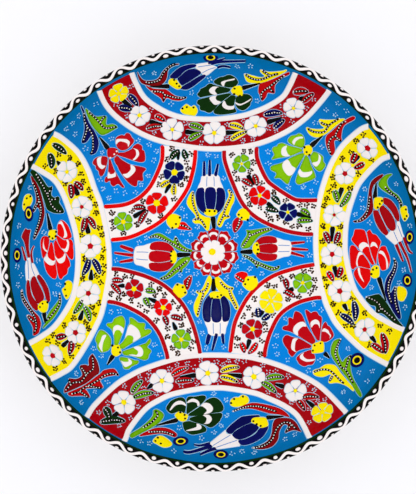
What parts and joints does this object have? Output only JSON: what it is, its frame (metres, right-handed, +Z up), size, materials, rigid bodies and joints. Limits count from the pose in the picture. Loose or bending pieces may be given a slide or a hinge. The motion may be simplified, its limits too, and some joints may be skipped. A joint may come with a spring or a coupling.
{
  "type": "painted ceramic dish",
  "caption": "Round footed ceramic dish with steep rim, painted inside with tulips, carnations and blossom bands in raised glaze on turquoise",
  "frame": {"origin": "on the table, under the middle of the foot ring", "axes": "+Z up along the dish's axis of turning; +Y toward the top of the pattern as pictured; +X to the right"},
  "size_m": [0.301, 0.301, 0.0552],
  "materials": {
    "fired_clay": "matt bare biscuit clay, seen only on the foot ring",
    "turquoise_glaze": "glossy turquoise blue, brushed, darker toward the lip",
    "white_glaze": "glossy off-white glaze on the back",
    "white_enamel": "glossy raised white",
    "crimson_enamel": "glossy deep crimson",
    "red_enamel": "glossy bright red",
    "yellow_enamel": "glossy lemon yellow",
    "lime_enamel": "glossy lime green",
    "green_enamel": "glossy dark green",
    "cobalt_enamel": "glossy cobalt blue",
    "black_enamel": "glossy black"
  },
  "bodies": {
    "root": {"clay_dish": "fired_clay", "turquoise_ground": "turquoise_glaze", "back_glaze": "white_glaze", "lip_black_band": "black_enamel", "lip_green_line": "green_enamel", "lip_white_wave": "white_enamel", "lip_white_dots": "white_enamel", "north_red_band": "crimson_enamel", "south_red_band": "crimson_enamel", "west_yellow_band": "yellow_enamel", "east_yellow_band": "yellow_enamel", "north_outer_contour": "white_enamel", "north_inner_contour": "white_enamel", "south_outer_contour": "white_enamel", "south_inner_contour": "white_enamel", "west_outer_contour": "white_enamel", "west_inner_contour": "white_enamel", "east_outer_contour": "white_enamel", "east_inner_contour": "white_enamel", "nw_white_band": "white_enamel", "ne_white_band": "white_enamel", "sw_white_band": "white_enamel", "se_white_band": "white_enamel", "nw_red_arcs": "red_enamel", "ne_red_arcs": "crimson_enamel", "sw_red_arcs": "crimson_enamel", "se_red_arcs": "red_enamel", "rosette_petals": "crimson_enamel", "rosette_white_arcs": "white_enamel", "rosette_flower": "white_enamel", "rosette_heart": "yellow_enamel", "cobalt_tulips": "cobalt_enamel", "crimson_tulips": "crimson_enamel", "white_tulip_middles": "white_enamel", "crimson_carnations": "crimson_enamel", "lime_carnations": "lime_enamel", "red_carnations": "red_enamel", "dark_green_carnations": "green_enamel", "white_crescents": "white_enamel", "yellow_calyxes": "yellow_enamel", "yellow_berries": "yellow_enamel", "white_blossoms": "white_enamel", "yellow_blossoms": "yellow_enamel", "cobalt_blossoms": "cobalt_enamel", "red_blossoms": "red_enamel", "lime_blossoms": "lime_enamel", "crimson_blossoms": "crimson_enamel", "yellow_hearts": "yellow_enamel", "crimson_hearts": "crimson_enamel", "yellow_leaves": "yellow_enamel", "lime_leaves": "lime_enamel", "crimson_leaves": "crimson_enamel", "red_leaves": "red_enamel", "dark_green_leaves": "green_enamel", "cobalt_leaves": "cobalt_enamel", "black_stems": "black_enamel", "cobalt_eye_discs": "cobalt_enamel", "yellow_eye_rings": "yellow_enamel", "black_eye_pupils": "black_enamel"}
  },
  "joints": []
}
